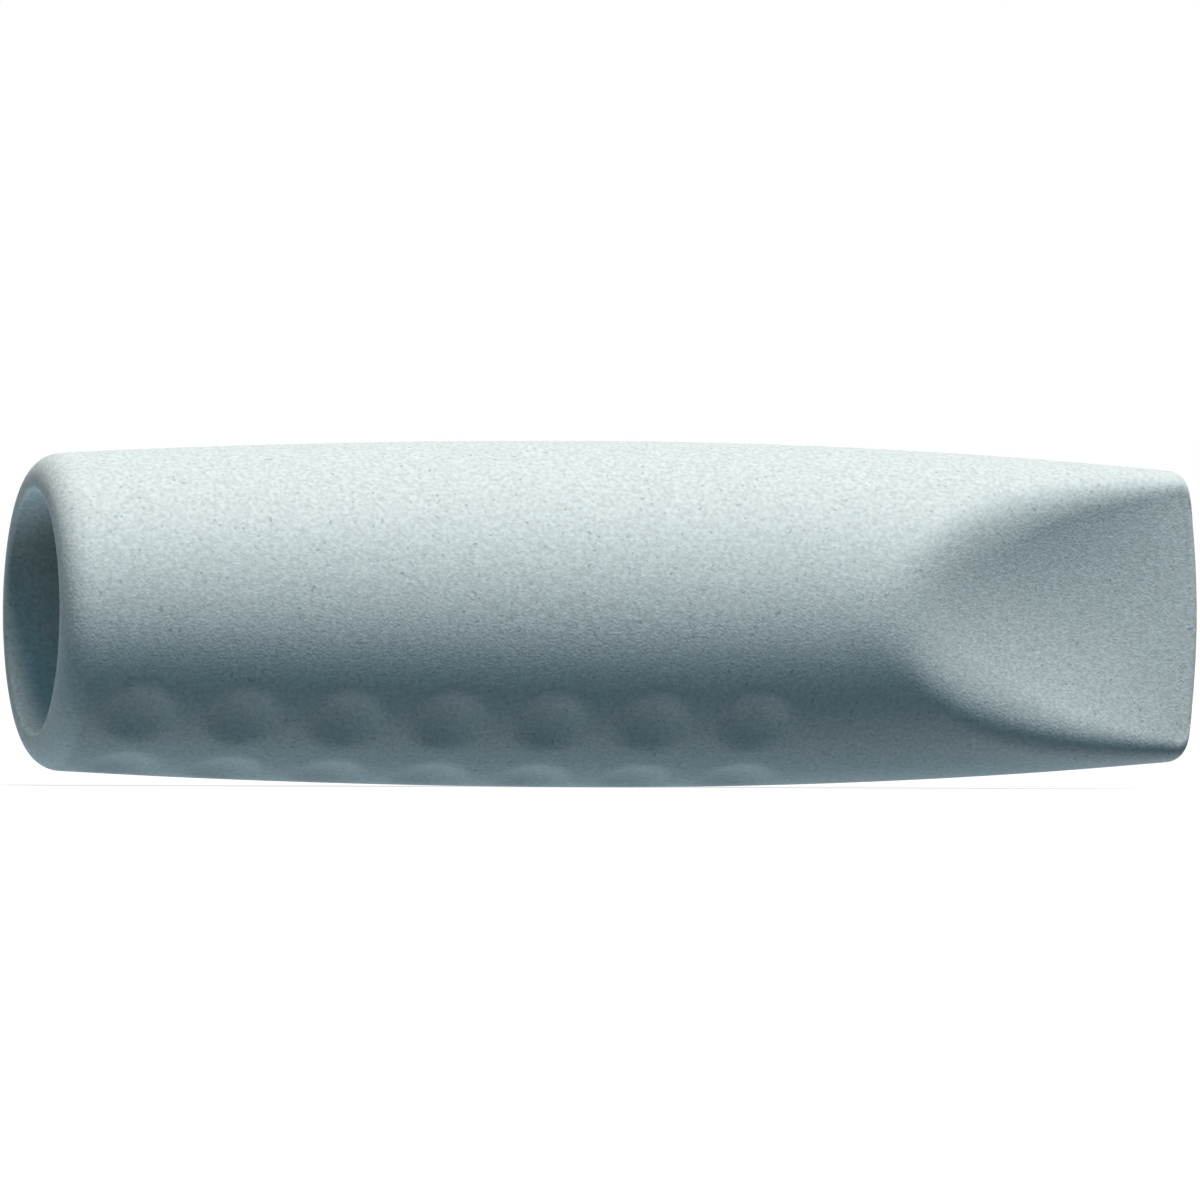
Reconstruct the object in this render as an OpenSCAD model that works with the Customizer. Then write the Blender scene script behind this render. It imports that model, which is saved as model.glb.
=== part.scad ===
// Eraser cap for the end of a pencil: one rubber moulding in millimetres.
// It lies on its side. +X runs from the mouth to the chisel tip, +Z is up, and the two
// scooped flats of the tip face -Y and +Y. The origin is on the axis, at the bore's floor,
// where the end of the pencil seats.

/* [Body] */
// Length from the rim of the mouth to the middle of the tip
body_l = 44.75; // [40:0.25:50]
// Diameter at the crown, where the barrel is widest
body_d = 13; // [12.4:0.1:15]
// Distance of the crown from the mouth
crown_x = 21.5; // [18:0.5:26]
// Diameter that the barrel runs down to at the mouth
mouth_d = 11.8; // [11.4:0.1:12.2]
// Diameter that the barrel runs down to at the tip
tip_d = 10.8; // [10:0.1:12]

/* [Bore] */
// Diameter of the straight bore that grips the pencil
bore_d = 7.4; // [6.8:0.1:7.8]
// Depth from the mouth to where the end of the pencil seats
bore_depth = 26; // [20:0.5:28]
// Diameter of the wider mouth of the bore
lead_d = 9.1; // [7.9:0.1:9.4]
// Length over which the mouth narrows to the straight bore
lead_l = 4; // [2:0.25:6]
// Height of the dome beyond the seat
dome_h = 0.8; // [0.4:0.1:1.5]

/* [Lip] */
// Rounding on the outside of the mouth
lip_out_r = 1.15; // [0.4:0.05:1.3]
// Rounding on the inside of the mouth
lip_in_r = 0.2; // [0.1:0.05:0.6]

/* [Chisel tip] */
// Distance of the first trace of the scoops from the mouth
scoop_x = 32.3; // [30:0.1:34]
// Thickness of the tip between the two scoops
tip_t = 2.4; // [1.6:0.1:5]
// How deep each scoop is dished below its flat
dish = 0.6; // [0.2:0.05:0.9]
// Softness of the ridge between a scoop and the barrel
ridge_soft = 1.5; // [0.4:0.05:1.8]
// Radius of the arc that the tip ends in, seen from the side
tip_arc_r = 29; // [20:1:60]
// Rounding of the tip's corners
tip_corner_r = 0.5; // [0.3:0.05:1.2]
// Rounding of the tip's long edges
tip_edge_r = 0.4; // [0.2:0.05:0.6]

/* [Grip dimples] */
// Number of dimples in a row
dimple_n = 7; // [3:1:7]
// Number of rows, spread evenly about the underside
dimple_rows = 4; // [2:1:6]
// Diameter of a dimple
dimple_d = 2.7; // [1.5:0.1:2.9]
// Depth of a dimple
dimple_depth = 0.24; // [0.14:0.02:0.4]
// Distance of the first dimples from the mouth
dimple_x = 3.1; // [2.8:0.1:4]
// Spacing of the dimples along a row
dimple_pitch = 3.93; // [3.4:0.01:4.2]
// Angle between neighbouring rows
dimple_row_angle = 34; // [30:1:40]

/* [Hidden] */

$fn = 96;
rubber = "#8f9ea3";
// Steps in the arcs of the barrel, of a fillet and of the domes
barrel_steps = 6;
fillet_steps = 6;
dome_steps = 4;

// Share of ridge_soft at the start of a scoop, the share of the scoop's length until it is
// full, and the most that it may be where the tip thins, as a share of the flat's depth
start_soft = 0.37;
start_share = 0.35;
thin_share = 0.85;
// Half-width of the very start of a scoop, before it opens out
start_w = 0.8;
// The cutter starts this much further back than the blend at the start of a scoop needs, and
// stands this far clear of the barrel round its rim
cutter_back = 1.3;
cutter_clear = 0.03;
// Grid of the cutter: steps along it, across half its floor and across its ridge
floor_steps_x = 20;
floor_steps_z = 5;
ridge_steps = 7;
// Directions through which the tip's edge turns, and the cutter's reach past the tip
edge_angles = [25, 50, 75];
past_tip = 1;
// Height of a dimple's cutter above the barrel, and its length past the print
dimple_over = 0.15;

// Bend (one over the radius) of an arc that drops by `drop` over `span` from its flattest
// point, and how far an arc of that bend drops. A negative bend rises instead.
function arc_bend(span, drop) = 2 * drop / (span * span + drop * drop);
function arc_drop(span, bend) = bend * span * span / (1 + sqrt(1 - pow(bend * span, 2)));
// Points on an arc about c, from angle a0 to a1
function arc(c, r, a0, a1, steps) =
    [for (i = [0:steps]) let (a = a0 + (a1 - a0) * i / steps) c + r * [cos(a), sin(a)]];

// Radius of the barrel at a distance x from the mouth: one arc either side of the crown
mouth_bend = arc_bend(crown_x, (body_d - mouth_d) / 2);
tip_bend = arc_bend(body_l - crown_x, (body_d - tip_d) / 2);
function barrel_bend(x) = x < crown_x ? mouth_bend : tip_bend;
function barrel_r(x) = body_d / 2 - arc_drop(x - crown_x, barrel_bend(x));
// Angle at which the barrel widens there
function barrel_slope(x) = asin((crown_x - x) * barrel_bend(x));

// The two lip fillets share the wall at the mouth
mouth_wall = (mouth_d - lead_d) / 2;
lip_fit = min(1, mouth_wall / (lip_out_r + lip_in_r));
lip_out = lip_out_r * lip_fit;
lip_in = lip_in_r * lip_fit;

// Corner of the tip: its arc touches the barrel and the domed end from inside
tip_drop = arc_drop(tip_d / 2, 1 / tip_arc_r);
tip_corner_c = let (r = barrel_r(body_l - tip_drop - tip_corner_r) - tip_corner_r)
    [r, body_l - tip_arc_r + sqrt(pow(tip_arc_r - tip_corner_r, 2) - r * r)];
tip_corner_a = atan2(tip_corner_c[1] - body_l + tip_arc_r, tip_corner_c[0]);

// Half the section of the turned form, as [radius, distance from the mouth]
seat_r = 1 / arc_bend(bore_d / 2, dome_h);
seat_a = asin(bore_d / 2 / seat_r);
half_section = concat(
    arc([0, bore_depth + dome_h - seat_r], seat_r, 90, 90 - seat_a, dome_steps),
    [[bore_d / 2, lead_l]],
    arc([lead_d / 2 + lip_in, lip_in], lip_in, 180, 270, fillet_steps),
    arc([barrel_r(lip_out) - lip_out, lip_out], lip_out, 270, 360, fillet_steps),
    [for (i = [1:barrel_steps]) let (x = lip_out + (crown_x - lip_out) * i / barrel_steps)
        [barrel_r(x), x]],
    [for (i = [1:barrel_steps - 1])
        let (x = crown_x + (tip_corner_c[1] - crown_x) * i / barrel_steps) [barrel_r(x), x]],
    arc(tip_corner_c, tip_corner_r, 0, tip_corner_a, fillet_steps),
    [for (i = [1:dome_steps]) let (a = tip_corner_a + (90 - tip_corner_a) * i / dome_steps)
        [tip_arc_r * cos(a), body_l - tip_arc_r + tip_arc_r * sin(a)]]
);

// --- Scoops ------------------------------------------------------------------------------
// A scoop starts as a flat, which runs from the barrel at scoop_x to half of tip_t at the
// tip, and is dished below that flat. All depths are distances from the axis along Y.
scoop_l = body_l - scoop_x;
function along(x) = min(1, max(0, (x - scoop_x) / scoop_l));
function flat_y(x) =
    barrel_r(scoop_x) + (tip_t / 2 - barrel_r(scoop_x)) * (x - scoop_x) / scoop_l;
// Half-width of the scoop, where its flat meets the barrel
function edge_z(x) =
    sqrt(max(0, pow(barrel_r(x), 2) - pow(flat_y(x), 2)) + start_w * start_w);
function dish_at(x) = dish * sin(180 * along(x));
function floor_y(x, z) = flat_y(x) - dish_at(x) * (1 - pow(z / edge_z(x), 2));
// The barrel's own depth at a height z, standing clear by the cutter's clearance
function skin_y(x, z) = sqrt(max(0, pow(barrel_r(x) + cutter_clear, 2) - z * z));
function softness(x) = min(
    ridge_soft * min(1, start_soft + (1 - start_soft) * along(x) / start_share),
    thin_share * flat_y(x));
// The lesser of a and b, with the corner between them rounded over a width k
function soft_min(a, b, k) =
    let (h = max(0, 1 - abs(a - b) / k)) min(a, b) - k / 4 * h * h;
function scoop_y(x, z) = soft_min(skin_y(x, z), floor_y(x, z), softness(x));

// Distance of the domed end from the mouth, at a height z on the scoop
function end_x(z) = body_l - arc_drop(norm([z, tip_t / 2]), 1 / tip_arc_r);

// Height at which the blend has run out on the barrel
function blend_z(x) = let (r = barrel_r(x) + cutter_clear)
    sqrt(max(start_w * start_w, r * r - pow(max(0, flat_y(x) - softness(x)), 2)));
// Heights across a scoop at x: evenly over its floor, then by even angles over the ridge
function across(x) =
    let (
        r = barrel_r(x) + cutter_clear,
        inner = asin(edge_z(x) * 0.75 / r),
        outer = asin(blend_z(x) / r),
        half = concat(
            [for (i = [1:floor_steps_z]) r * sin(inner) * i / floor_steps_z],
            [for (i = [1:ridge_steps]) r * sin(inner + (outer - inner) * i / ridge_steps)])
    )
    concat([for (i = [len(half) - 1:-1:0]) -half[i]], [0], half);

// Rows of points on the cutter's underside: along the floor, round the tip's edge, past it
scoop_from = scoop_x
    - cutter_back * softness(scoop_x) * scoop_l / (barrel_r(scoop_x) - tip_t / 2);
function floor_row(share) =
    let (x0 = scoop_from + (body_l - tip_edge_r - scoop_from) * share)
    [for (z = across(x0))
        let (x = scoop_from + (end_x(z) - tip_edge_r - scoop_from) * share)
        [x, scoop_y(x, z), z]];
function edge_row(a) =
    [for (p = floor_row(1)) p + tip_edge_r * [sin(a), cos(a) - 1, 0]];
function past_row() =
    let (a = edge_angles[len(edge_angles) - 1])
    [for (p = edge_row(a)) p + past_tip * [cos(a), -sin(a), 0]];
scoop_rows = concat(
    [for (i = [0:floor_steps_x]) floor_row(i / floor_steps_x)],
    [for (a = edge_angles) edge_row(a)],
    [past_row()]);

// Solid between a grid of points and a flat lid at y = lid_y straight above its rim
module under_lid(rows, lid_y) {
    n = len(rows[0]);
    m = len(rows);
    rim = concat(
        [for (j = [0:n - 1]) j],
        [for (i = [1:m - 1]) i * n + n - 1],
        [for (j = [n - 2:-1:0]) (m - 1) * n + j],
        [for (i = [m - 2:-1:1]) i * n]);
    grid = [for (row = rows) each row];
    lid = [for (k = rim) [grid[k][0], lid_y, grid[k][2]]];
    lid_first = len(grid);
    faces = concat(
        [for (i = [0:m - 2]) for (j = [0:n - 2]) let (a = i * n + j)
            each [[a, a + 1, a + n], [a + 1, a + n + 1, a + n]]],
        [[for (k = [len(rim) - 1:-1:0]) lid_first + k]],
        [for (k = [0:len(rim) - 1])
            let (next = (k + 1) % len(rim))
            each [
                [rim[next], rim[k], lid_first + k],
                [rim[next], lid_first + k, lid_first + next]]]);
    polyhedron(concat(grid, lid), faces);
}

module scoop_cutter() {
    under_lid(scoop_rows, body_d / 2 + 1);
}

// --- Dimples -----------------------------------------------------------------------------
// Each cutter is a short piece of a ring that lies along the barrel. Its section sets the
// length of the print, and its wider turn allows for the barrel's curve, so the print is round.
module dimple_cutter(x) {
    bend = 2 * dimple_depth / pow(dimple_d / 2, 2);
    section_r = 1 / bend;
    turn_r = 1 / (bend - 1 / barrel_r(x));
    half_turn = asin((dimple_d / 2 + dimple_over) / turn_r);
    translate([0, 0, turn_r - dimple_depth])
        rotate([0, 90, 0])
            rotate([0, 0, -half_turn])
                rotate_extrude(angle = 2 * half_turn)
                    intersection() {
                        translate([turn_r - section_r, 0])
                            circle(section_r);
                        translate([turn_r - dimple_depth - dimple_over, -dimple_d])
                            square([2 * dimple_depth, 2 * dimple_d]);
                    }
}

module dimples() {
    for (row = [0:dimple_rows - 1])
        rotate([180 + (row - (dimple_rows - 1) / 2) * dimple_row_angle, 0, 0])
            for (i = [0:dimple_n - 1])
                let (x = dimple_x + i * dimple_pitch)
                    translate([x, 0, barrel_r(x)])
                        rotate([0, -barrel_slope(x), 0])
                            dimple_cutter(x);
}

// --- The cap -----------------------------------------------------------------------------
module eraser_cap() {
    color(rubber)
        translate([-bore_depth, 0, 0])
            difference() {
                rotate([0, 90, 0])
                    rotate_extrude()
                        polygon(half_section);
                scoop_cutter();
                mirror([0, 1, 0])
                    scoop_cutter();
                dimples();
            }
}

eraser_cap();
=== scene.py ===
"""A slip-on eraser cap for the end of a pencil, dressed for rendering.

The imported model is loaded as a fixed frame. Its one solid is replaced by a finely meshed cap of
the same size and place, in speckled eraser rubber, and a plain studio with a camera is set up
round it. The frame's +X runs along the cap from its mouth to its chisel tip, and +Z is up.
Lengths are in metres.
"""

import math

import bmesh
import bpy
from bpy.props import FloatProperty, FloatVectorProperty, IntProperty, PointerProperty
from mathutils import Matrix, Vector


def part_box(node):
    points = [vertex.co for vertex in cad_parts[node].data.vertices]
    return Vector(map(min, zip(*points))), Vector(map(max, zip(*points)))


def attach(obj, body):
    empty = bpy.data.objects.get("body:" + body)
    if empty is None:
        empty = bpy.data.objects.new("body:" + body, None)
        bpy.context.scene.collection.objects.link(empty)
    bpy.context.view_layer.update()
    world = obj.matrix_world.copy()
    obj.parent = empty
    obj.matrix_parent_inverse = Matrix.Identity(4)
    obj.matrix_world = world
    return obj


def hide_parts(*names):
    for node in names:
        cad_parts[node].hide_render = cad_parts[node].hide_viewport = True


bl_info = {
    "name": "Eraser Cap",
    "version": (1, 0, 0),
    "blender": (4, 5, 0),
    "location": "3D View > Sidebar > Eraser Cap",
    "description": "Makes a slip-on rubber eraser cap and a plain studio to show it in",
    "category": "Add Mesh",
}

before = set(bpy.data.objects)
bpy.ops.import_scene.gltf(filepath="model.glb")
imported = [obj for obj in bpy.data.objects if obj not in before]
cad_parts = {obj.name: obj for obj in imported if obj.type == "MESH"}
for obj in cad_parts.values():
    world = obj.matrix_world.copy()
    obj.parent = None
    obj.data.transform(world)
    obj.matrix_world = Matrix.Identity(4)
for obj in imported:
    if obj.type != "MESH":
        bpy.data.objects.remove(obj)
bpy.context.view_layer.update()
CAP_NODE = "eraser_cap"
CAP_LOW, CAP_HIGH = (Vector(corner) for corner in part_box(CAP_NODE))
MOUTH_X = CAP_LOW.x
TIP_X = CAP_HIGH.x
CROWN_RADIUS = (CAP_HIGH.z - CAP_LOW.z) / 2
MM = 0.001


def length_property(name, description, millimetres):
    """A length that a user can change, given here in millimetres."""
    return FloatProperty(
        name=name, description=description, default=millimetres * MM, unit="LENGTH", precision=5
    )


def angle_property(name, description, degrees):
    """An angle that a user can change, given here in degrees."""
    return FloatProperty(
        name=name, description=description, default=math.radians(degrees), subtype="ANGLE"
    )


def level_property(name, description, level):
    """The level of a light that a user can change."""
    return FloatProperty(name=name, description=description, default=level)


def colour_property(name, description, rgb):
    """A linear colour that a user can change."""
    return FloatVectorProperty(
        name=name, description=description, default=rgb, size=3, min=0, max=1, subtype="COLOR"
    )


class CapShape(bpy.types.PropertyGroup):
    """Sizes of the moulding; its length and its crown come from the frame."""

    crown_at: length_property("Crown", "Distance of the widest point from the mouth", 21.5)
    mouth_radius: length_property("Mouth Radius", "Radius that the barrel runs down to", 5.9)
    tip_radius: length_property("Tip Radius", "Radius that the barrel runs down to", 5.4)
    bore_radius: length_property("Bore Radius", "Radius of the straight bore", 3.7)
    bore_depth: length_property("Bore Depth", "Distance of the pencil's seat from the mouth", 26)
    lead_radius: length_property("Lead-in Radius", "Radius of the bore at the mouth", 4.55)
    lead_length: length_property("Lead-in Length", "Length over which the mouth narrows", 4)
    seat_dome: length_property("Seat Dome", "Height of the dome beyond the seat", 0.8)
    lip_outside: length_property("Outer Lip", "Rounding on the outside of the mouth", 1.15)
    lip_inside: length_property("Inner Lip", "Rounding on the inside of the mouth", 0.2)
    scoop_at: length_property("Scoop Start", "Distance of the scoops from the mouth", 32.3)
    tip_thickness: length_property("Tip Thickness", "Thickness between the scoops", 2.4)
    dish: length_property("Dish", "How deep a scoop is dished below its flat", 0.6)
    ridge_softness: length_property("Ridge Softness", "Width that the ridge is blended over", 1.5)
    tip_arc: length_property("Tip Arc", "Radius of the arc that the tip ends in", 29)
    tip_edge: length_property("Tip Edge", "Rounding of the tip's long edges", 0.42)
    tip_corner: length_property("Tip Corner", "Rounding of the tip's corners", 0.5)
    dimple_diameter: length_property("Dimple Diameter", "Diameter of a dimple", 2.7)
    dimple_depth: length_property("Dimple Depth", "Depth of a dimple", 0.24)
    dimple_at: length_property("First Dimple", "Distance of the first dimples from the mouth", 3.1)
    dimple_pitch: length_property("Dimple Pitch", "Spacing of the dimples along a row", 3.93)
    dimples_in_row: IntProperty(
        name="Dimples in a Row", description="Number of dimples in a row", default=7, min=1
    )
    dimple_rows: IntProperty(
        name="Rows", description="Number of rows round the underside", default=4, min=1
    )
    row_angle: angle_property("Row Angle", "Angle between neighbouring rows", 34)
    waviness: length_property("Waviness", "How far the soft rubber strays from true", 0.012)
    around: IntProperty(name="Around", description="Vertices in each ring", default=256, min=32)


class CapFinish(bpy.types.PropertyGroup):
    """Colours and grain of the rubber."""

    shade: colour_property("Rubber", "Colour of the rubber between grains", (0.463, 0.521, 0.524))
    filler: colour_property("Filler", "Colour of the paler grains in it", (0.602, 0.677, 0.679))
    specks: colour_property("Specks", "Colour of its few dark specks", (0.36, 0.42, 0.43))
    grain_size: length_property("Grain Size", "Size of one grain of filler", 0.16)
    roughness: FloatProperty(
        name="Roughness", description="Roughness of the surface", default=0.62, min=0, max=1
    )
    sand_size: length_property("Sand Size", "Size of one bump of the sandy skin", 0.085)
    relief: length_property("Relief", "Height of the sandy skin", 0.0115)


class StudioLook(bpy.types.PropertyGroup):
    """Levels of the lamps, and where the camera stands."""

    key: level_property("Key", "Level of the overhead lamp", 1.38)
    fill: level_property("Fill", "Level of the wide lamp in front", 0.215)
    under: level_property("Under", "Level of the lamp under the floor", 0.46)
    side: level_property("Side", "Level of the lamp at the mouth", 0.035)
    ambient: level_property("Ambient", "Level of the light all round", 0.1)
    yaw: angle_property("Yaw", "Turn of the camera towards the mouth", 13.4)
    roll: angle_property("Roll", "Roll of the camera", 0.24)
    distance: FloatProperty(
        name="Distance", description="Distance of the camera", default=1.8, unit="LENGTH"
    )
    view_width: length_property("View Width", "Width of the view at the cap", 45.05)


# --- Node trees ---------------------------------------------------------------------------------


class Field:
    """A number in a node tree. Python's operators on it add math nodes to the tree."""

    def __init__(self, tree, socket):
        self.tree = tree
        self.socket = socket

    def math(self, operation, *others):
        """The result of a math node on this number and the others."""
        node = self.tree.nodes.new("ShaderNodeMath")
        node.operation = operation
        for slot, value in zip(node.inputs, (self, *others)):
            if isinstance(value, Field):
                self.tree.links.new(value.socket, slot)
            else:
                slot.default_value = value
        return Field(self.tree, node.outputs[0])

    def __add__(self, other):
        return self.math("ADD", other)

    def __sub__(self, other):
        return self.math("SUBTRACT", other)

    def __mul__(self, other):
        return self.math("MULTIPLY", other)

    def __truediv__(self, other):
        return self.math("DIVIDE", other)

    def __pow__(self, other):
        return self.math("POWER", other)

    def __neg__(self):
        return self.math("MULTIPLY", -1)

    def __radd__(self, other):
        return self.math("ADD", other)

    def __rmul__(self, other):
        return self.math("MULTIPLY", other)

    def __rsub__(self, other):
        return (-self).math("ADD", other)

    def min(self, other):
        """The lesser of the two."""
        return self.math("MINIMUM", other)

    def max(self, other):
        """The greater of the two."""
        return self.math("MAXIMUM", other)

    def abs(self):
        """Without its sign."""
        return self.math("ABSOLUTE")

    def sqrt(self):
        """Square root, with nothing below zero let in."""
        return self.max(0).math("SQRT")

    def below(self, other):
        """1 where this is less than the other, else 0."""
        return self.math("LESS_THAN", other)

    def clamped(self):
        """Held between 0 and 1."""
        return self.max(0).min(1)


def soft_min(a, b, width):
    """The lesser of two fields, its corner rounded over a width, and how far a alone decides it."""
    nearness = (1 - (a - b).abs() / width).max(0)
    least = a.min(b) - width / 4 * nearness * nearness
    share_of_a = nearness / 2 + a.below(b) * (1 - nearness)
    return least, share_of_a


def arc_drop(span, bend):
    """How far an arc of a bend (one over its radius) drops over a span, as fields or numbers."""
    square = bend * bend * span * span
    root = (1 - square).sqrt() if isinstance(square, Field) else math.sqrt(1 - square)
    return bend * span * span / (1 + root)


def arc_bend(span, drop):
    """Bend of the arc that drops by drop over span from its flattest point."""
    return 2 * drop / (span * span + drop * drop)


def new_group(name, numbers):
    """A geometry node group with an input per number, its input node, and the inputs as fields."""
    tree = bpy.data.node_groups.new(name, "GeometryNodeTree")
    tree.interface.new_socket("Section", in_out="INPUT", socket_type="NodeSocketGeometry")
    tree.interface.new_socket("Cap", in_out="OUTPUT", socket_type="NodeSocketGeometry")
    group_input = tree.nodes.new("NodeGroupInput")
    fields = {}
    for label, value in numbers.items():
        kind = "NodeSocketInt" if isinstance(value, int) else "NodeSocketFloat"
        tree.interface.new_socket(label, in_out="INPUT", socket_type=kind).default_value = value
        fields[label] = Field(tree, group_input.outputs[label])
    return tree, group_input, fields


def split(tree, vector_socket):
    """The three numbers of a vector."""
    node = tree.nodes.new("ShaderNodeSeparateXYZ")
    tree.links.new(vector_socket, node.inputs[0])
    return [Field(tree, socket) for socket in node.outputs]


def combine(tree, x, y, z):
    """The vector of three numbers."""
    node = tree.nodes.new("ShaderNodeCombineXYZ")
    for slot, field in zip(node.inputs, (x, y, z)):
        tree.links.new(field.socket, slot)
    return node.outputs[0]


def chain(tree, geometry, kind, **inputs):
    """Adds a node of a kind after a geometry socket, with its inputs set or linked."""
    node = tree.nodes.new(kind)
    tree.links.new(geometry, node.inputs[0])
    for label, value in inputs.items():
        slot = node.inputs[label.replace("_", " ")]
        if isinstance(value, bpy.types.NodeSocket):
            tree.links.new(value, slot)
        else:
            slot.default_value = value
    return node.outputs[0]


# --- The cap's shape ----------------------------------------------------------------------------

# Rings along each stretch of the section
SEAT_RINGS = 6
WALL_RINGS = 24
LEAD_RINGS = 8
INNER_LIP_RINGS = 10
OUTER_LIP_RINGS = 14
BARREL_RINGS = 250
EDGE_RINGS = 12
END_RINGS = 8
# How far in from the outline of the tip its edge rings reach, as a share of the way to the middle
EDGE_SHARE = 0.2
# The rings run straight round up to here, and then lean over to follow the tip's end
LEAN_FROM = 38 * MM
# The ridge is crisper where a scoop starts: its share of the softness there, where along the
# scoop it is full, and the half-width of the very start
START_SOFTNESS = 0.37
FULL_SOFTNESS_AT = 0.35
START_HALF_WIDTH = 0.8 * MM
# It is crisper again where the tip thins: the blend is no wider than this share of the flat's
# depth from the axis
THIN_SHARE = 0.85
# The rim of a dimple is rounded over this share of its depth
DIMPLE_RIM = 0.5
# The skin of the barrel lies outside this radius, and the bore inside it
SKIN_RADIUS = 4.9 * MM
# Rings of the barrel and the bore have a scale of 1, and those of the tip's end have less
FULL_SCALE = 0.99999
WAVE_LENGTH = 5 * MM
WAVE_DETAIL = 1
# Points of the tip's middle and of the tube's seam that lie nearer than this become one
MERGE_DISTANCE = 0.0005 * MM


def barrel_radius(shape, x):
    """Radius of the barrel at a distance x from the mouth, on one arc either side of the crown."""
    if x < shape.crown_at:
        bend = arc_bend(shape.crown_at, CROWN_RADIUS - shape.mouth_radius)
    else:
        bend = arc_bend(TIP_X - MOUTH_X - shape.crown_at, CROWN_RADIUS - shape.tip_radius)
    return CROWN_RADIUS - arc_drop(x - shape.crown_at, bend)


def arc_points(centre, radius, start, end, rings):
    """(x, r) points of an arc in the section; angles are in degrees from the +r direction."""
    for ring in range(rings + 1):
        angle = math.radians(start + (end - start) * ring / rings)
        yield centre[0] + radius * math.sin(angle), centre[1] + radius * math.cos(angle)


def even_points(start, end, rings):
    """(x, r) points evenly along a line in the section, without its first point."""
    for ring in range(1, rings + 1):
        share = ring / rings
        yield tuple(a + (b - a) * share for a, b in zip(start, end))


def section_points(shape):
    """(x, r, scale) of each ring, from the bore's floor through the mouth to the tip's middle.

    x is the distance from the mouth. Past the last ring of the barrel the rings are that ring,
    scaled towards the axis.
    """
    seat_radius = 1 / arc_bend(shape.bore_radius, shape.seat_dome)
    seat_angle = math.degrees(math.asin(shape.bore_radius / seat_radius))
    seat_centre = (shape.bore_depth + shape.seat_dome - seat_radius, 0)
    points = list(arc_points(seat_centre, seat_radius, 90, 90 - seat_angle, SEAT_RINGS))
    lead_end = (shape.lead_length, shape.bore_radius)
    points += even_points(points[-1], lead_end, WALL_RINGS)
    lip_start = (shape.lip_inside, shape.lead_radius)
    points += list(even_points(lead_end, lip_start, LEAD_RINGS))[:-1]
    inner_centre = (shape.lip_inside, shape.lead_radius + shape.lip_inside)
    points += arc_points(inner_centre, shape.lip_inside, 180, 270, INNER_LIP_RINGS)
    outer = shape.lip_outside
    outer_centre = (outer, barrel_radius(shape, outer) - outer)
    points += arc_points(outer_centre, outer, 270, 360, OUTER_LIP_RINGS)
    last = TIP_X - MOUTH_X - arc_drop(shape.tip_radius, 1 / shape.tip_arc) - shape.tip_corner
    for ring in range(1, BARREL_RINGS + 1):
        x = outer + (last - outer) * ring / BARREL_RINGS
        points.append((x, barrel_radius(shape, x)))
    scales = [1 - EDGE_SHARE * (ring / EDGE_RINGS) ** 2 for ring in range(1, EDGE_RINGS + 1)]
    inner_scale = 1 - EDGE_SHARE
    scales += [inner_scale * (1 - ring / END_RINGS) for ring in range(1, END_RINGS + 1)]
    return [(x, r, 1) for x, r in points] + [(*points[-1], scale) for scale in scales]


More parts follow.
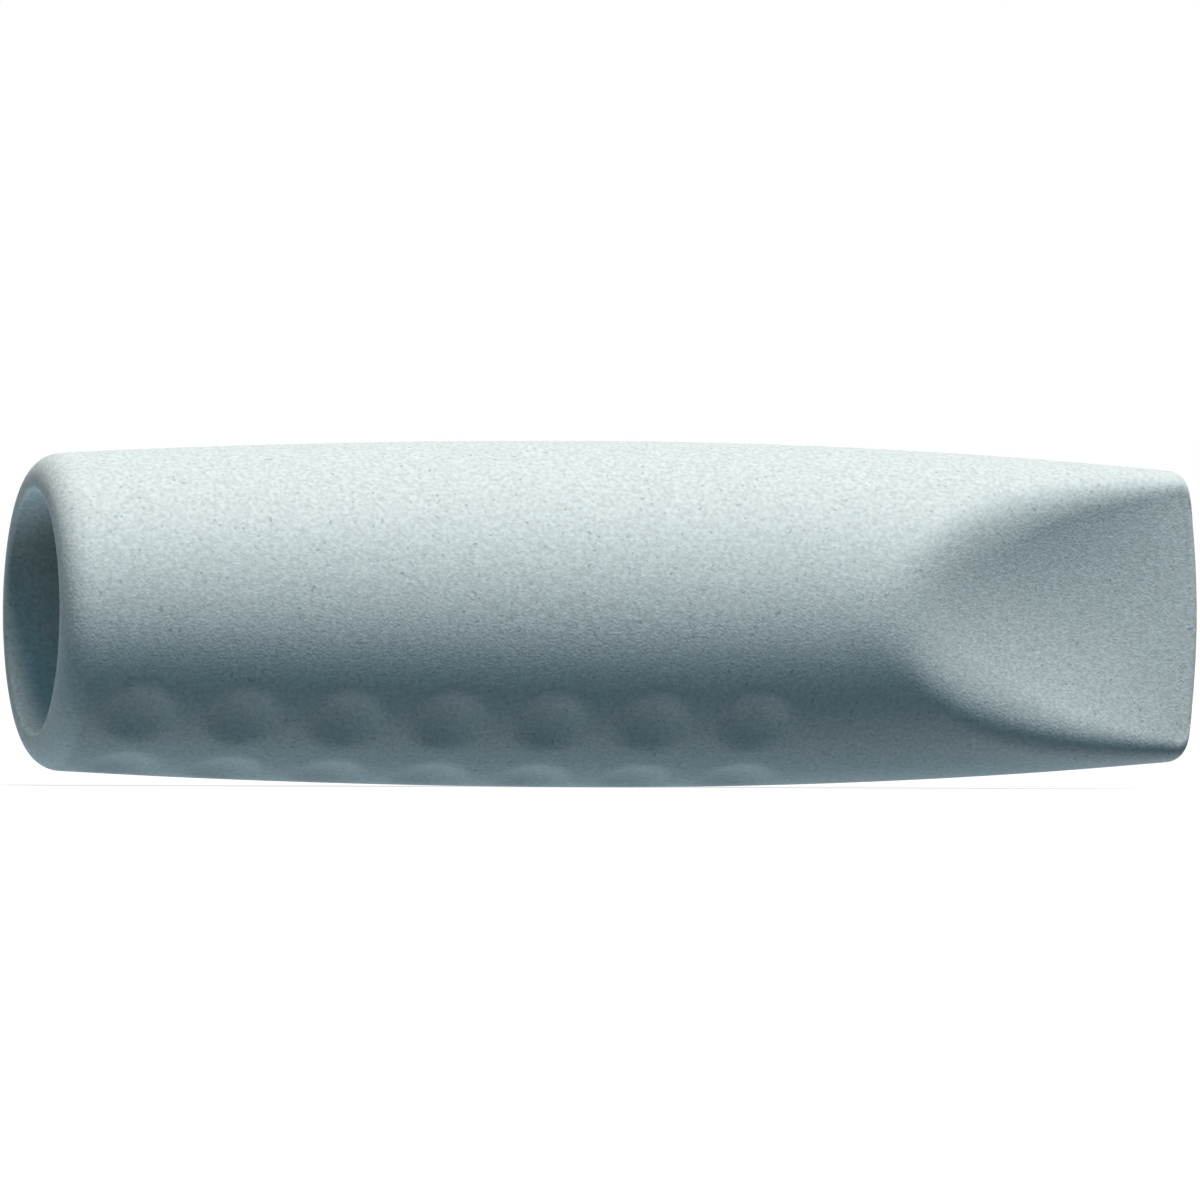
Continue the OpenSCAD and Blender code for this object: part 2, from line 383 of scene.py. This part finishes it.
def cap_tree(shape, rings, last, material):
    """Geometry nodes that turn the section into the cap: its scoops, tip and dimples."""
    scoop_at = shape.scoop_at
    tree, group_input, size = new_group("Eraser cap", {
        "Rings": rings,
        "Around": shape.around,
        "Mouth": MOUTH_X,
        "Length": TIP_X - MOUTH_X,
        "Last Ring": last,
        "Scoop Start": scoop_at,
        "Start Depth": barrel_radius(shape, scoop_at),
        "Half Thickness": shape.tip_thickness / 2,
        "Dish": shape.dish,
        "Ridge Softness": shape.ridge_softness,
        "Tip Edge": shape.tip_edge,
        "Tip Corner": shape.tip_corner,
        "Dimple Radius": shape.dimple_diameter / 2,
        "Dimple Depth": shape.dimple_depth,
        "First Dimple": shape.dimple_at,
        "Dimple Pitch": shape.dimple_pitch,
        "Dimples in Row": shape.dimples_in_row,
        "Dimple Rows": shape.dimple_rows,
        "Row Angle": shape.row_angle,
        "Waviness": shape.waviness,
    })

    # A plain tube, whose rings look up their place in the section by number
    tube = tree.nodes.new("GeometryNodeMeshCylinder")
    tube.fill_type = "NONE"
    for label in ("Radius", "Depth"):
        tube.inputs[label].default_value = 1
    tree.links.new(size["Around"].socket, tube.inputs["Vertices"])
    tree.links.new((size["Rings"] - 1).socket, tube.inputs["Side Segments"])
    position = tree.nodes.new("GeometryNodeInputPosition").outputs[0]
    across, up, height = split(tree, position)
    ring = (height + 0.5) * (size["Rings"] - 1)
    lookup = tree.nodes.new("GeometryNodeSampleIndex")
    lookup.data_type = "FLOAT_VECTOR"
    tree.links.new(group_input.outputs["Section"], lookup.inputs["Geometry"])
    tree.links.new(position, lookup.inputs["Value"])
    tree.links.new(ring.math("ROUND").socket, lookup.inputs["Index"])
    x, radius, scale = split(tree, lookup.outputs["Value"])
    side = across.math("SIGN")
    y = across.abs() * radius
    z = up * radius

    # The last rings lean over to follow the arc of the tip's end
    half = size["Half Thickness"]
    bend = 1 / shape.tip_arc
    end_drop = arc_drop((y.min(half) ** 2 + z * z).sqrt(), bend)
    edge_radius = size["Tip Edge"]
    corner = size["Tip Corner"]
    lean = ((x - LEAN_FROM) / (size["Last Ring"] - LEAN_FROM)).clamped()
    flat_side = half.below(y)
    end_rounding = corner + (edge_radius - corner) * flat_side
    x = x + (size["Length"] - end_drop - end_rounding - size["Last Ring"]) * lean

    # Each scoop is a flat from the barrel down to the tip, dished below that
    slope_share = (x - size["Scoop Start"]) / (size["Length"] - size["Scoop Start"])
    along = slope_share.clamped()
    flat = size["Start Depth"] + (half - size["Start Depth"]) * slope_share
    edge = ((radius * radius - flat * flat).max(0) + START_HALF_WIDTH**2).sqrt()
    dish = size["Dish"] * (along * math.pi).math("SINE").max(0)
    floor = flat - dish * (1 - (z / edge) ** 2)
    softness = START_SOFTNESS + (1 - START_SOFTNESS) * (along / FULL_SOFTNESS_AT).min(1)
    softness = (size["Ridge Softness"] * softness).min(THIN_SHARE * flat)
    depth, barrel_share = soft_min(y, floor, softness)

    # Past the last ring the outline shrinks to the middle, over a rounded edge
    normal_z = barrel_share * up.abs()
    normal = (across * across + normal_z * normal_z).sqrt()
    reach = (depth * across.abs() + z.abs() * normal_z) / normal
    inset = reach * (1 - scale)
    rounding = edge_radius + (corner - edge_radius) * barrel_share
    fall = rounding - (rounding**2 - (rounding - inset).max(0) ** 2).sqrt()
    end_y = depth * scale
    end_z = z * scale
    end_x = size["Length"] - arc_drop((end_y**2 + end_z**2).sqrt(), bend) - fall
    x = x + (end_x - x) * scale.below(FULL_SCALE)

    # Dimples: each point looks at the nearest one and sinks towards the axis
    row_count = size["Dimple Rows"]
    row = (across.math("ARCTAN2", -up) / size["Row Angle"] + row_count / 2).math("FLOOR")
    row = row.max(0).min(row_count - 1)
    row_angle = (row - (row_count - 1) / 2) * size["Row Angle"]
    column = ((x - size["First Dimple"]) / size["Dimple Pitch"]).math("ROUND")
    column = column.max(0).min(size["Dimples in Row"] - 1)
    away_x = x - size["First Dimple"] - column * size["Dimple Pitch"]
    away_round = (across.math("ARCTAN2", -up) - row_angle) * radius
    away = (away_x**2 + away_round**2) / size["Dimple Radius"] ** 2
    bowl = size["Dimple Depth"] * (1 - away)
    rim = size["Dimple Depth"] * DIMPLE_RIM
    sunk = bowl.max(0) + rim / 4 * (1 - bowl.abs() / rim).max(0) ** 2
    sunk = sunk * (1 - radius.below(SKIN_RADIUS)) * x.below(size["Scoop Start"])
    y = (end_y - sunk * across.abs()) * side
    z = end_z - sunk * up
    placed = chain(tree, tube.outputs["Mesh"], "GeometryNodeSetPosition",
                   Position=combine(tree, x + size["Mouth"], y, z))

    # Soft rubber strays a little from true
    noise = tree.nodes.new("ShaderNodeTexNoise")
    noise.inputs["Scale"].default_value = 1 / WAVE_LENGTH
    noise.inputs["Detail"].default_value = WAVE_DETAIL
    waves = [(wave - 0.5) * size["Waviness"] for wave in split(tree, noise.outputs["Color"])]
    wavy = chain(tree, placed, "GeometryNodeSetPosition", Offset=combine(tree, *waves))
    closed = chain(tree, wavy, "GeometryNodeMergeByDistance", Distance=MERGE_DISTANCE)
    smooth = chain(tree, closed, "GeometryNodeSetShadeSmooth")
    real = chain(tree, smooth, "GeometryNodeRealizeInstances")
    finished = chain(tree, real, "GeometryNodeSetMaterial", Material=material)
    output = tree.nodes.new("NodeGroupOutput")
    tree.links.new(finished, output.inputs[0])
    return tree


def plain_copy(source, name):
    """A new object with the source's evaluated mesh, its faces turned outwards, in its place."""
    evaluated = source.evaluated_get(bpy.context.evaluated_depsgraph_get())
    mesh = bpy.data.meshes.new_from_object(evaluated)
    mesh.name = name
    bpy.data.objects.remove(source)
    work = bmesh.new()
    work.from_mesh(mesh)
    bmesh.ops.recalc_face_normals(work, faces=work.faces)
    work.to_mesh(mesh)
    work.free()
    piece = bpy.data.objects.new(name, mesh)
    bpy.context.collection.objects.link(piece)
    return piece


# --- The rubber ---------------------------------------------------------------------------------

# Faint gloss of the matt rubber
SPECULAR_LEVEL = 0.2
# Values of the grain's noise at which the rubber has its own colour, and the filler's in full
GRAIN_FROM = 0.2
GRAIN_TO = 0.8
# A dark speck is a little larger than a grain. It shows where its noise rises above the first
# value, and is darkest from the second.
SPECK_SHARE = 1.1
SPECK_FROM = 0.74
SPECK_TO = 0.82


def rubber_material(finish):
    """Matt eraser rubber: pale grains of filler, a few dark specks and a fine sandy skin."""
    material = bpy.data.materials.new("eraser_rubber")
    material.use_nodes = True
    tree = material.node_tree
    links = tree.links
    shader = tree.nodes["Principled BSDF"]
    shader.inputs["Roughness"].default_value = finish.roughness
    shader.inputs["Specular IOR Level"].default_value = SPECULAR_LEVEL
    coordinates = tree.nodes.new("ShaderNodeTexCoord").outputs["Object"]

    def noise(size):
        node = tree.nodes.new("ShaderNodeTexNoise")
        node.inputs["Scale"].default_value = 1 / size
        node.inputs["Detail"].default_value = 0
        links.new(coordinates, node.inputs["Vector"])
        return node.outputs["Fac"]

    def ramp(socket, low, high):
        node = tree.nodes.new("ShaderNodeMapRange")
        node.inputs["From Min"].default_value = low
        node.inputs["From Max"].default_value = high
        links.new(socket, node.inputs["Value"])
        return node.outputs["Result"]

    def mix(factor, first, second):
        node = tree.nodes.new("ShaderNodeMix")
        node.data_type = "RGBA"
        links.new(factor, node.inputs["Factor"])
        for label, value in (("A", first), ("B", second)):
            slot = next(s for s in node.inputs if s.name == label and s.type == "RGBA")
            if isinstance(value, bpy.types.NodeSocket):
                links.new(value, slot)
            else:
                slot.default_value = (*value, 1)
        return next(s for s in node.outputs if s.type == "RGBA")

    grain = ramp(noise(finish.grain_size), GRAIN_FROM, GRAIN_TO)
    body = mix(grain, finish.shade, finish.filler)
    speck = ramp(noise(finish.grain_size * SPECK_SHARE), SPECK_FROM, SPECK_TO)
    colour = mix(speck, body, finish.specks)
    links.new(colour, shader.inputs["Base Color"])

    bump = tree.nodes.new("ShaderNodeBump")
    bump.inputs["Strength"].default_value = 1
    bump.inputs["Distance"].default_value = finish.relief
    links.new(noise(finish.sand_size), bump.inputs["Height"])
    links.new(bump.outputs["Normal"], shader.inputs["Normal"])
    return material


# --- Operators ----------------------------------------------------------------------------------


class CAP_OT_make_cap(bpy.types.Operator):
    """Makes the eraser cap in its rubber and puts it in place of the plain solid"""

    bl_idname = "eraser_cap.make_cap"
    bl_label = "Eraser Cap"

    def execute(self, context):
        shape = context.scene.cap_shape
        points = section_points(shape)
        last = max(x for x, r, scale in points)
        section = bpy.data.meshes.new("section")
        section.from_pydata(points, [], [])
        maker = bpy.data.objects.new("section", section)
        context.collection.objects.link(maker)
        material = rubber_material(context.scene.cap_finish)
        modifier = maker.modifiers.new("Cap", "NODES")
        modifier.node_group = cap_tree(shape, len(points), last, material)
        cap = plain_copy(maker, "eraser_cap_skin")
        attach(cap, "root")
        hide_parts(CAP_NODE)
        return {"FINISHED"}


# --- Studio -------------------------------------------------------------------------------------

FLOOR_SIZE = 12.0
# The floor is seen as a white glow of its own plus a share that takes the light and the cap's
# shadow, and it lights the cap as a dark floor does
FLOOR_GLOW = 0.7
FLOOR_SHADED = 0.3
FLOOR_BOUNCE = 0.06
# Lamps: how far round the cap's axis each one stands, from straight in front (-Y) at 0 up over
# it, how far it is turned towards the tip, and how wide its soft disc is, in degrees
KEY_AT = (71, 7, 30)
FILL_AT = (45, 10, 70)
UNDER_AT = (-120, -14, 30)
SIDE_AT = (40, -75, 25)
KEY_TINT = (1, 0.875, 0.8)
FILL_TINT = (0.05, 0.64, 1)
UNDER_TINT = (0.66, 0.87, 1)
SIDE_TINT = (0.7, 0.94, 1)
AMBIENT_TINT = (0.4, 0.8, 1)
# Where the camera looks: a point on the axis, and how far above it the view's middle lies
AIM_FROM_MOUTH = 21.865 * MM
AIM_RISE = 0.53 * MM
SENSOR_WIDTH = 0.036


def add_lamp(name, level, place, tint):
    """A soft distant lamp; at level 1 a surface that faces it shows its own colour."""
    raised, turned, width = (math.radians(angle) for angle in place)
    lamp = bpy.data.lights.new(name, "SUN")
    lamp.energy = level * math.pi
    lamp.angle = width
    lamp.color = tint
    towards = Vector((math.sin(turned), -math.cos(turned) * math.cos(raised),
                      math.cos(turned) * math.sin(raised)))
    lamp_object = bpy.data.objects.new(name, lamp)
    lamp_object.rotation_euler = towards.to_track_quat("Z", "Y").to_euler()
    bpy.context.collection.objects.link(lamp_object)


def seen_ray(tree):
    """1 on a ray that shows the background: from the camera, or mirrored or refracted."""
    path = Field(tree, tree.nodes.new("ShaderNodeLightPath").outputs["Is Camera Ray"])
    outputs = path.socket.node.outputs
    for kind in ("Is Glossy Ray", "Is Transmission Ray"):
        path = path.max(Field(tree, outputs[kind]))
    return path.socket


def mix_shaders(tree, factor, first, second):
    """One shader where the factor is 0, the other where it is 1."""
    node = tree.nodes.new("ShaderNodeMixShader")
    for slot, socket in zip(node.inputs, (factor, first, second)):
        tree.links.new(socket, slot)
    return node.outputs[0]


def shader_node(tree, kind, grey, **inputs):
    """Output of a new shader node of a plain grey."""
    node = tree.nodes.new(kind)
    node.inputs["Color"].default_value = (grey, grey, grey, 1)
    for label, value in inputs.items():
        node.inputs[label].default_value = value
    return node.outputs[0]


def floor_material():
    """Pale floor that shows the cap's shadow, and lets the lamp under it shine through."""
    material = bpy.data.materials.new("pale_floor")
    material.use_nodes = True
    tree = material.node_tree
    tree.nodes.remove(tree.nodes["Principled BSDF"])
    glow = shader_node(tree, "ShaderNodeEmission", 1, Strength=FLOOR_GLOW)
    shaded = shader_node(tree, "ShaderNodeBsdfDiffuse", FLOOR_SHADED)
    both = tree.nodes.new("ShaderNodeAddShader")
    for slot, socket in zip(both.inputs, (glow, shaded)):
        tree.links.new(socket, slot)
    bounce = shader_node(tree, "ShaderNodeBsdfDiffuse", FLOOR_BOUNCE)
    clear = shader_node(tree, "ShaderNodeBsdfTransparent", 1)
    solid = mix_shaders(tree, seen_ray(tree), bounce, both.outputs[0])
    path = tree.nodes.new("ShaderNodeLightPath")
    through = mix_shaders(tree, path.outputs["Is Shadow Ray"], solid, clear)
    tree.links.new(through, tree.nodes["Material Output"].inputs["Surface"])
    return material


def white_world(ambient):
    """A world that is seen as white, and that lights the cap dimly from all round."""
    world = bpy.data.worlds.new("white")
    world.use_nodes = True
    bpy.context.scene.world = world
    tree = world.node_tree
    lighting = tree.nodes["Background"]
    lighting.inputs["Color"].default_value = (*AMBIENT_TINT, 1)
    lighting.inputs["Strength"].default_value = ambient
    white = shader_node(tree, "ShaderNodeBackground", 1)
    surface = mix_shaders(tree, seen_ray(tree), lighting.outputs[0], white)
    tree.links.new(surface, tree.nodes["World Output"].inputs["Surface"])


class CAP_OT_make_studio(bpy.types.Operator):
    """Lays the pale floor, hangs the lamps and sets the camera"""

    bl_idname = "eraser_cap.make_studio"
    bl_label = "Studio"

    def execute(self, context):
        studio = context.scene.studio_look
        mesh = bpy.data.meshes.new("floor")
        half = FLOOR_SIZE / 2
        ways = ((-1, -1), (1, -1), (1, 1), (-1, 1))
        corners = [(half * x, half * y, CAP_LOW.z) for x, y in ways]
        mesh.from_pydata(corners, [], [(0, 1, 2, 3)])
        mesh.materials.append(floor_material())
        floor = bpy.data.objects.new("floor", mesh)
        context.collection.objects.link(floor)
        white_world(studio.ambient)
        add_lamp("key", studio.key, KEY_AT, KEY_TINT)
        add_lamp("fill", studio.fill, FILL_AT, FILL_TINT)
        add_lamp("under", studio.under, UNDER_AT, UNDER_TINT)
        add_lamp("side", studio.side, SIDE_AT, SIDE_TINT)

        camera = bpy.data.cameras.new("camera")
        camera.sensor_width = SENSOR_WIDTH / MM
        camera.lens = camera.sensor_width * studio.distance / studio.view_width
        camera.clip_end = 2 * FLOOR_SIZE
        viewer = bpy.data.objects.new("camera", camera)
        back = Vector((-math.sin(studio.yaw), -math.cos(studio.yaw), 0))
        aim = Vector((MOUTH_X + AIM_FROM_MOUTH, 0, AIM_RISE))
        turn = back.to_track_quat("Z", "Y").to_matrix() @ Matrix.Rotation(studio.roll, 3, "Z")
        viewer.matrix_world = Matrix.Translation(aim + back * studio.distance) @ turn.to_4x4()
        context.collection.objects.link(viewer)
        context.scene.camera = viewer
        context.scene.view_settings.view_transform = "Standard"
        return {"FINISHED"}


class CAP_PT_panel(bpy.types.Panel):
    """Lists the cap, its studio and their sizes in the sidebar"""

    bl_label = "Eraser Cap"
    bl_space_type = "VIEW_3D"
    bl_region_type = "UI"
    bl_category = "Eraser Cap"

    def draw(self, context):
        layout = self.layout
        for group in (context.scene.cap_shape, context.scene.cap_finish, context.scene.studio_look):
            for name in group.__annotations__:
                layout.prop(group, name)
        layout.operator(CAP_OT_make_cap.bl_idname)
        layout.operator(CAP_OT_make_studio.bl_idname)


CLASSES = (CapShape, CapFinish, StudioLook, CAP_OT_make_cap, CAP_OT_make_studio, CAP_PT_panel)


def register():
    """Registers the classes and their property groups."""
    for entry in CLASSES:
        bpy.utils.register_class(entry)
    bpy.types.Scene.cap_shape = PointerProperty(type=CapShape)
    bpy.types.Scene.cap_finish = PointerProperty(type=CapFinish)
    bpy.types.Scene.studio_look = PointerProperty(type=StudioLook)


def unregister():
    """Takes them away again."""
    del bpy.types.Scene.studio_look
    del bpy.types.Scene.cap_finish
    del bpy.types.Scene.cap_shape
    for entry in reversed(CLASSES):
        bpy.utils.unregister_class(entry)


def main():
    register()
    bpy.ops.eraser_cap.make_cap()
    bpy.ops.eraser_cap.make_studio()


if __name__ == "__main__":
    main()
